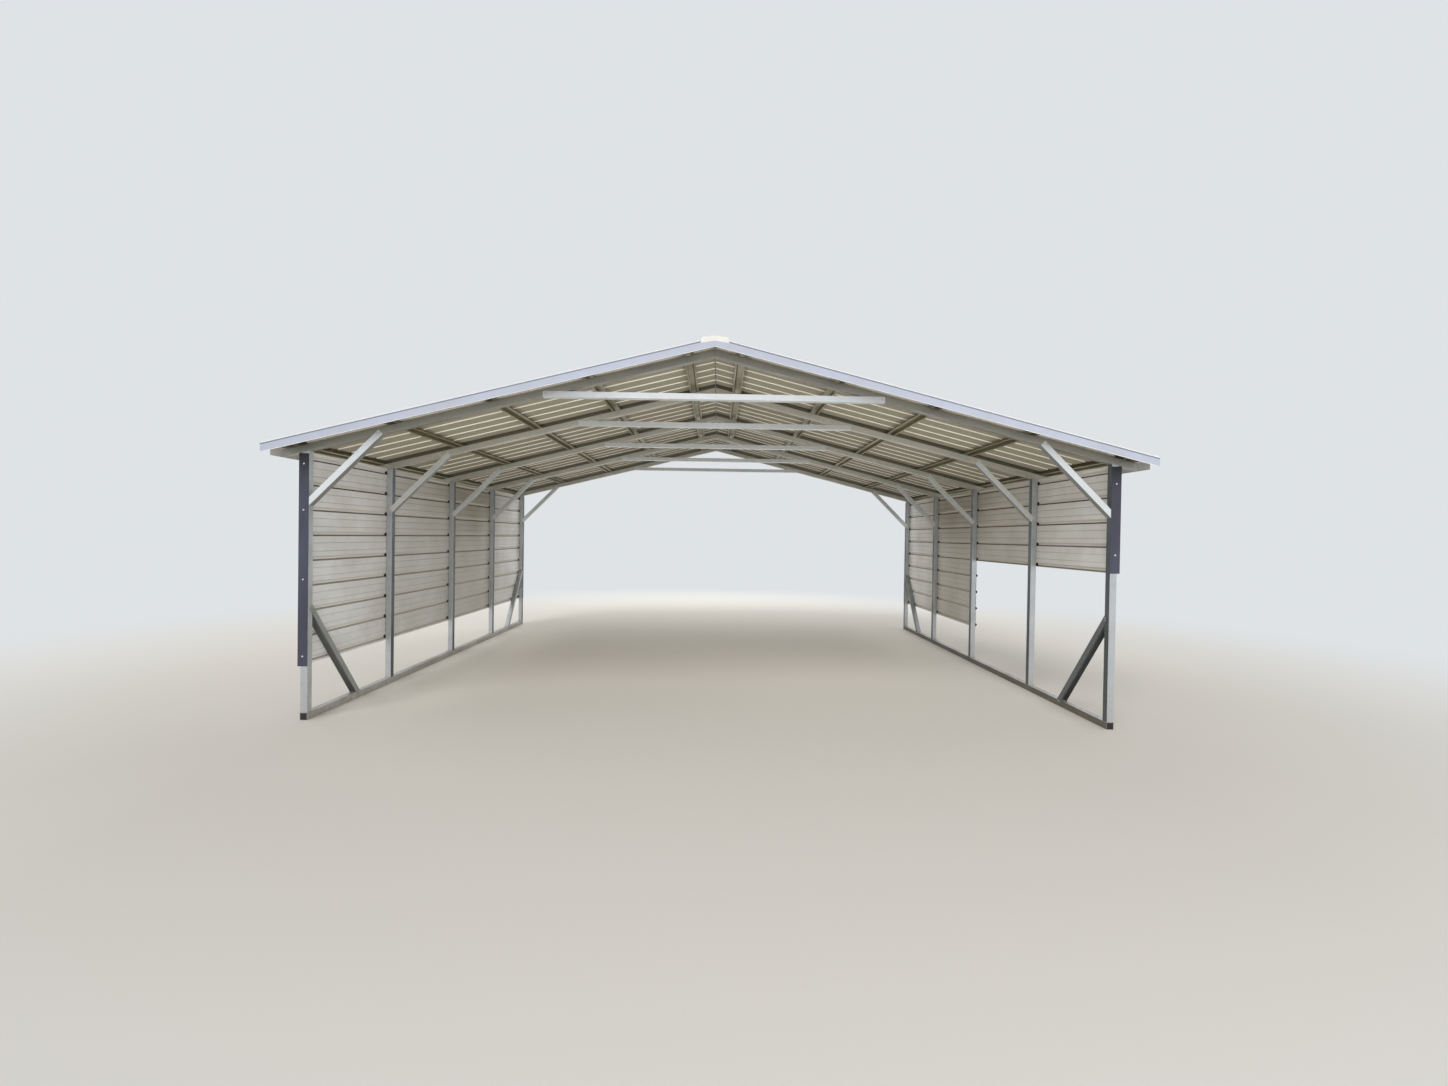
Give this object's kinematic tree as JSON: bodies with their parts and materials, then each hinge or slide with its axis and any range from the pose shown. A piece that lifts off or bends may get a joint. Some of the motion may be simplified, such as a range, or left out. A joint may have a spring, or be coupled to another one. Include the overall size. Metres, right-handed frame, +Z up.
{
  "type": "steel frame carport",
  "caption": "Open steel carport: tube frames on base rails, braced with channels, under a ribbed sheet gable roof, with part-height sheet side walls.",
  "frame": {"origin": "on the ground, in the middle of the plan", "axes": "+X to the right seen from the open front, +Y to the rear, +Z up"},
  "size_m": [7.8128, 6.4598, 3.4366],
  "materials": {
    "galvanised_tube": "satin",
    "galvanised_channel": "satin",
    "painted_sheet": "satin",
    "white_trim": "satin",
    "dark_trim": "satin",
    "plug_plastic": "matte"
  },
  "bodies": {
    "root": {"base_rail_left": "galvanised_tube", "base_rail_right": "galvanised_tube", "collar_ties": "galvanised_channel", "corner_braces_left": "galvanised_channel", "corner_braces_right": "galvanised_channel", "corner_trim_front_left": "dark_trim", "corner_trim_front_right": "dark_trim", "corner_trim_rear_left": "dark_trim", "corner_trim_rear_right": "dark_trim", "knee_braces_left": "galvanised_channel", "knee_braces_right": "galvanised_channel", "lower_wall_sheet_left": "painted_sheet", "lower_wall_sheet_right": "painted_sheet", "post_left_1": "galvanised_tube", "post_left_2": "galvanised_tube", "post_left_3": "galvanised_tube", "post_left_4": "galvanised_tube", "post_left_5": "galvanised_tube", "post_right_1": "galvanised_tube", "post_right_2": "galvanised_tube", "post_right_3": "galvanised_tube", "post_right_4": "galvanised_tube", "post_right_5": "galvanised_tube", "purlins_left": "galvanised_channel", "purlins_right": "galvanised_channel", "rafter_left_1": "galvanised_tube", "rafter_left_2": "galvanised_tube", "rafter_left_3": "galvanised_tube", "rafter_left_4": "galvanised_tube", "rafter_left_5": "galvanised_tube", "rafter_right_1": "galvanised_tube", "rafter_right_2": "galvanised_tube", "rafter_right_3": "galvanised_tube", "rafter_right_4": "galvanised_tube", "rafter_right_5": "galvanised_tube", "rail_end_plugs": "plug_plastic", "rail_stubs_left": "galvanised_tube", "rail_stubs_right": "galvanised_tube", "rake_trim_front_left": "white_trim", "rake_trim_front_right": "white_trim", "rake_trim_rear_left": "white_trim", "rake_trim_rear_right": "white_trim", "ridge_cap": "white_trim", "roof_sheets_left": "painted_sheet", "roof_sheets_right": "painted_sheet", "upper_wall_sheet_left": "painted_sheet", "upper_wall_sheet_right": "painted_sheet"}
  },
  "joints": []
}
